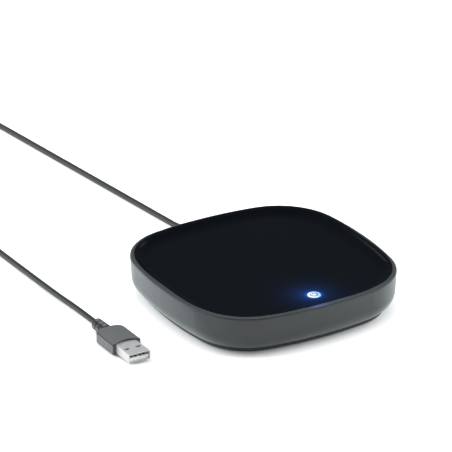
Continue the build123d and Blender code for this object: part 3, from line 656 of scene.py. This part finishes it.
# Painted reflection: blue emission on the rim, on the camera's side of the button, stands in for
# the button's reflection in the rim.
button_reflection_place = (button_middle - Vector(from_camera) * button_reflection_ahead
                   + Vector(right_of_camera) * button_reflection_aside)
painted_button_reflection = worked(shading, wires, "MULTIPLY",
                ramp(shading, wires, distance_from(button_reflection_place), button_reflection_reach, 0.0),
                up_to_rim(button_reflection_below_rim))
painted_glow_and_reflection = blended(shading, wires, painted_button_reflection, painted_floor_glow, button_reflection_blue)
for part in (shader, matt_parts[0]):
    wires.new(painted_glow_and_reflection, part.inputs["Emission Color"])
    part.inputs["Emission Strength"].default_value = 1.0
shader.inputs["Base Color"].default_value = (*dish_black, 1.0)
shader.inputs["Roughness"].default_value = floor_polish
skin = shader
for part, share in zip(matt_parts, (rim, lip)):
    join = shading.new("ShaderNodeMixShader")
    wires.new(share, join.inputs["Fac"])
    wires.new(skin.outputs[0], join.inputs[1])
    wires.new(part.outputs["BSDF"], join.inputs[2])
    skin = join
wires.new(skin.outputs["Shader"], shading["Material Output"].inputs["Surface"])
finish_nodes(dish_finish, "top_tray")


# ---- Button ----
# A clear round cap, lit from below in a cold white that turns blue to one side. The on-off sign is
# printed on top of it in grey blue.
cap_white = (0.96, 1.0, 0.95)
cap_blue = (0.16, 0.55, 0.95)
cap_turns_blue = (-0.002, 0.003)
cap_strength = 0.68
frost_size = 0.0004
frost_depth = 0.000005
frost_dark = (0.18, 0.22, 0.25)
frost_light = (0.24, 0.27, 0.3)

cap_finish, shading, wires, shader = new_material("cap_finish")
where = shading.new("ShaderNodeTexCoord").outputs["Object"]
across = shading.new("ShaderNodeSeparateXYZ")
wires.new(where, across.inputs["Vector"])
bluer = ramp(shading, wires, across.outputs["X"],
             *(button_middle.x + offset for offset in cap_turns_blue))
wires.new(blended(shading, wires, bluer, cap_white, cap_blue), shader.inputs["Emission Color"])
frost = speckled(shading, wires, where, frost_size)
wires.new(blended(shading, wires, frost, frost_dark, frost_light), shader.inputs["Base Color"])
raised(shading, wires, frost, frost_depth, shader)
shader.inputs["Roughness"].default_value = 0.3
shader.inputs["Emission Strength"].default_value = cap_strength
finish_nodes(cap_finish, "button_cap")

sign_radius = 0.00175
sign_stroke = 0.0005
sign_gap = 38
sign_bar = (0.0006, 0.0023)
sign_steps = 40
ink_depth = 0.00002
ink_lift = 0.000005
print_bench = bmesh.new()


def printed_strip(edges):
    """Flat strip of ink between two rows of places, given as pairs."""
    level = button_high.z + ink_lift
    rows = [[print_bench.verts.new((button_middle.x + x, button_middle.y + y, level))
             for x, y in pair] for pair in edges]
    for (a, b), (c, d) in zip(rows, rows[1:]):
        print_bench.faces.new((a, b, d, c))


ring = []
for step in range(sign_steps + 1):
    turn = radians(90 + sign_gap + (360 - 2 * sign_gap) * step / sign_steps)
    ring.append([((sign_radius + offset) * cos(turn), (sign_radius + offset) * sin(turn))
                 for offset in (-sign_stroke / 2, sign_stroke / 2)])
printed_strip(ring)
printed_strip([[(-sign_stroke / 2, reach), (sign_stroke / 2, reach)] for reach in sign_bar])
bmesh.ops.recalc_face_normals(print_bench, faces=print_bench.faces)
sign_mesh = bpy.data.meshes.new("power_sign")
print_bench.to_mesh(sign_mesh)
print_bench.free()
sign = bpy.data.objects.new("power_sign", sign_mesh)
bpy.context.scene.collection.objects.link(sign)
ink = sign.modifiers.new("ink", "SOLIDIFY")
ink.thickness = ink_depth
ink.offset = 0.0
sign_mesh.materials.append(moulded("ink_finish", colour=(0.012, 0.05, 0.11), roughness=0.5,
                                   grain=0.0001, depth=0.000002))
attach(sign, "power_button")


# ---- Plug ----
# A flat four-contact plug: a satin black moulding round a folded steel shell, with a white tongue
# that carries four gold-plated contacts, and a grooved boot behind. Its rounded edges are painted
# darker, as painted shade.
plug_colour = (0.1, 0.104, 0.106)
painted_edge_shade = (0.012, 0.013, 0.014)
off_side = (0.1, 0.35)
off_flat = (0.97, 0.8)

plug_finish = moulded("plug_finish", plug_colour, roughness=0.42, grain=0.0003, depth=0.000012)
shading, wires = plug_finish.node_tree.nodes, plug_finish.node_tree.links
shader = shading["Principled BSDF"]
# Painted shade: faces that are neither flat nor upright, the rounded edges, get a darker base
# colour.
facing = shading.new("ShaderNodeSeparateXYZ")
wires.new(shading.new("ShaderNodeNewGeometry").outputs["Normal"], facing.inputs["Vector"])
turned = worked(shading, wires, "ABSOLUTE", facing.outputs["Z"])
rounded = worked(shading, wires, "MULTIPLY", ramp(shading, wires, turned, *off_side),
                 ramp(shading, wires, turned, *off_flat))
plug_face = shader.inputs["Base Color"].links[0].from_socket
wires.new(blended(shading, wires, rounded, plug_face, painted_edge_shade), shader.inputs["Base Color"])
finish_nodes(plug_finish, "plug_body", "plug_boot")
shell_finish = drawn_metal("shell_finish", colour=(0.66, 0.665, 0.67), roughness=0.36,
                           grain=(0.0002, 0.004, 0.0002), metal=0.5)
finish_nodes(shell_finish, "plug_shell")
tongue_finish = moulded("tongue_finish", colour=(0.88, 0.88, 0.87), roughness=0.45, grain=0.0003,
                        depth=0.000004)
finish_nodes(tongue_finish, "plug_tongue")
contact_finish = drawn_metal("contact_finish", colour=(0.4, 0.33, 0.2), roughness=0.35,
                             grain=(0.0002, 0.003, 0.0002))
finish_nodes(contact_finish, "plug_contacts")
